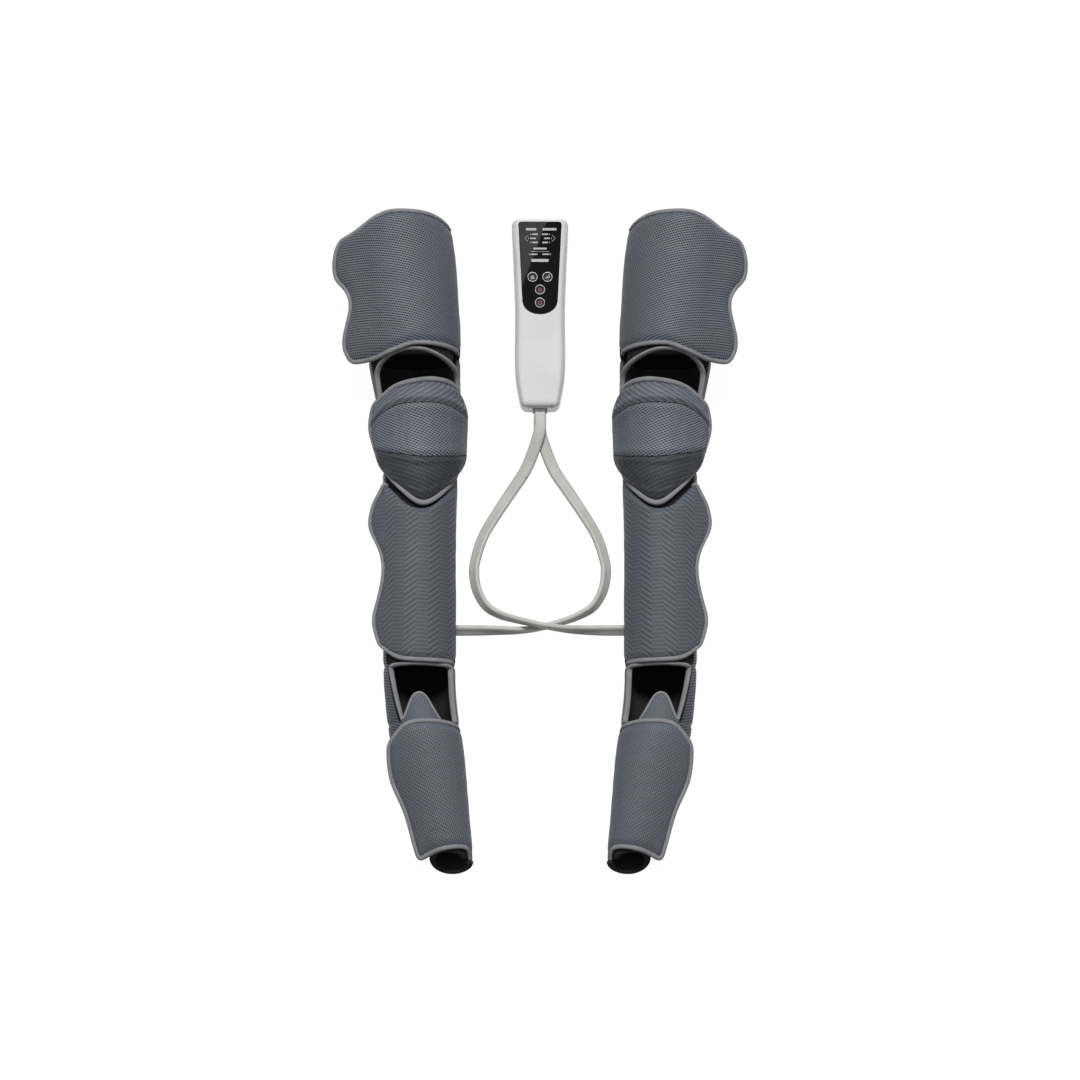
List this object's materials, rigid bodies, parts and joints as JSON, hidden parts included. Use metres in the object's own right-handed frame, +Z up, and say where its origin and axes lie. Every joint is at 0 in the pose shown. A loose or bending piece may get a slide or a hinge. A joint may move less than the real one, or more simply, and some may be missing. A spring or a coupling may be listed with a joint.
{
  "type": "compression boots",
  "caption": "Thigh-high air compression boots with wrap-over padded flaps, joined by flat hoses to a push-button handset.",
  "frame": {"origin": "middle of the pair on the surface that it lies on", "axes": "+X across the pair, +Y from the toes to the thighs, +Z up from the surface"},
  "size_m": [0.5848, 0.932, 0.1385],
  "materials": {
    "mesh_fabric": "slate grey spacer mesh",
    "edge_tape": "lighter grey woven edge tape",
    "black_lining": "black brushed lining",
    "bladder_film": "matte coated film",
    "hose_rubber": "warm light grey, satin",
    "white_gloss": "white, high gloss",
    "black_gloss": "black glass-like gloss",
    "grey_plastic": "mid grey, satin",
    "board_green": "green circuit laminate",
    "pump_metal": "zinc plated"
  },
  "bodies": {
    "root": {"left_thigh_back": "mesh_fabric", "left_knee_back": "mesh_fabric", "left_calf_back": "mesh_fabric", "left_heel_back": "mesh_fabric", "left_foot_back": "mesh_fabric", "left_thigh_bladder": "bladder_film", "left_calf_bladder": "bladder_film", "left_foot_bladder": "bladder_film", "left_thigh_hook_patch": "black_lining", "left_calf_hook_patch": "black_lining", "left_ankle_binding": "edge_tape", "left_air_fitting": "grey_plastic", "right_thigh_back": "mesh_fabric", "right_knee_back": "mesh_fabric", "right_calf_back": "mesh_fabric", "right_heel_back": "mesh_fabric", "right_foot_back": "mesh_fabric", "right_thigh_bladder": "bladder_film", "right_calf_bladder": "bladder_film", "right_foot_bladder": "bladder_film", "right_thigh_hook_patch": "black_lining", "right_calf_hook_patch": "black_lining", "right_ankle_binding": "edge_tape", "right_air_fitting": "grey_plastic", "front_shell": "white_gloss", "back_shell": "white_gloss", "screen_panel": "black_gloss", "circuit_board": "board_green", "air_pump": "pump_metal", "valve_block": "grey_plastic", "hose_socket": "grey_plastic", "dc_inlet": "grey_plastic", "left_hose": "hose_rubber", "right_hose": "hose_rubber"},
    "left_thigh_flap_body": {"left_thigh_flap": "mesh_fabric", "left_thigh_binding": "edge_tape"},
    "left_knee_pad_body": {"left_knee_pad": "mesh_fabric", "left_knee_binding": "edge_tape", "left_knee_heater": "black_lining"},
    "left_calf_flap_body": {"left_calf_flap": "mesh_fabric", "left_calf_binding": "edge_tape"},
    "left_foot_flap_body": {"left_foot_flap": "mesh_fabric", "left_foot_binding": "edge_tape"},
    "left_tongue_body": {"left_tongue": "mesh_fabric"},
    "right_thigh_flap_body": {"right_thigh_flap": "mesh_fabric", "right_thigh_binding": "edge_tape"},
    "right_knee_pad_body": {"right_knee_pad": "mesh_fabric", "right_knee_binding": "edge_tape", "right_knee_heater": "black_lining"},
    "right_calf_flap_body": {"right_calf_flap": "mesh_fabric", "right_calf_binding": "edge_tape"},
    "right_foot_flap_body": {"right_foot_flap": "mesh_fabric", "right_foot_binding": "edge_tape"},
    "right_tongue_body": {"right_tongue": "mesh_fabric"},
    "mode_button_body": {"mode_button": "black_gloss"},
    "pressure_button_body": {"pressure_button": "black_gloss"},
    "heat_button_body": {"heat_button": "black_gloss"},
    "power_button_body": {"power_button": "black_gloss"}
  },
  "joints": [
    {"name": "left_thigh_flap_fold", "type": "hinge", "parent": "root", "child": "left_thigh_flap_body", "pos_m": [-0.1145, 0.35125, 0.06237], "axis": [-0.0748, 0.9969, 0.0258], "range_deg": [0, 100]},
    {"name": "left_knee_pad_fold", "type": "hinge", "parent": "root", "child": "left_knee_pad_body", "pos_m": [-0.10116, 0.14532, 0.04903], "axis": [0.0321, 0.9984, 0.0468], "range_deg": [0, 100]},
    {"name": "left_calf_flap_fold", "type": "hinge", "parent": "root", "child": "left_calf_flap_body", "pos_m": [-0.11532, -0.04848, 0.04585], "axis": [0.0065, 0.9998, 0.0196], "range_deg": [0, 100]},
    {"name": "left_foot_flap_fold", "type": "hinge", "parent": "root", "child": "left_foot_flap_body", "pos_m": [-0.09953, -0.358, 0.03322], "axis": [-0.0972, 0.9922, 0.0778], "range_deg": [0, 100]},
    {"name": "left_tongue_lift", "type": "hinge", "parent": "root", "child": "left_tongue_body", "pos_m": [-0.166, -0.26465, 0.0765], "axis": [1, 0, 0], "range_deg": [0, 70]},
    {"name": "right_thigh_flap_fold", "type": "hinge", "parent": "root", "child": "right_thigh_flap_body", "pos_m": [0.1145, 0.35125, 0.06237], "axis": [-0.0748, -0.9969, -0.0258], "range_deg": [0, 100]},
    {"name": "right_knee_pad_fold", "type": "hinge", "parent": "root", "child": "right_knee_pad_body", "pos_m": [0.10116, 0.14532, 0.04903], "axis": [0.0321, -0.9984, -0.0468], "range_deg": [0, 100]},
    {"name": "right_calf_flap_fold", "type": "hinge", "parent": "root", "child": "right_calf_flap_body", "pos_m": [0.11532, -0.04848, 0.04585], "axis": [0.0065, -0.9998, -0.0196], "range_deg": [0, 100]},
    {"name": "right_foot_flap_fold", "type": "hinge", "parent": "root", "child": "right_foot_flap_body", "pos_m": [0.09953, -0.358, 0.03322], "axis": [-0.0972, -0.9922, -0.0778], "range_deg": [0, 100]},
    {"name": "right_tongue_lift", "type": "hinge", "parent": "root", "child": "right_tongue_body", "pos_m": [0.166, -0.26465, 0.0765], "axis": [1, 0, 0], "range_deg": [0, 70]},
    {"name": "mode_button_press", "type": "slide", "parent": "root", "child": "mode_button_body", "axis": [0, 0, -1], "range_m": [0, 0.0008], "stiffness_N_per_m": 500, "springref_m": -0.0006},
    {"name": "pressure_button_press", "type": "slide", "parent": "root", "child": "pressure_button_body", "axis": [0, 0, -1], "range_m": [0, 0.0008], "stiffness_N_per_m": 500, "springref_m": -0.0006},
    {"name": "heat_button_press", "type": "slide", "parent": "root", "child": "heat_button_body", "axis": [0, 0, -1], "range_m": [0, 0.0008], "stiffness_N_per_m": 500, "springref_m": -0.0006},
    {"name": "power_button_press", "type": "slide", "parent": "root", "child": "power_button_body", "axis": [0, 0, -1], "range_m": [0, 0.0008], "stiffness_N_per_m": 500, "springref_m": -0.0006}
  ]
}
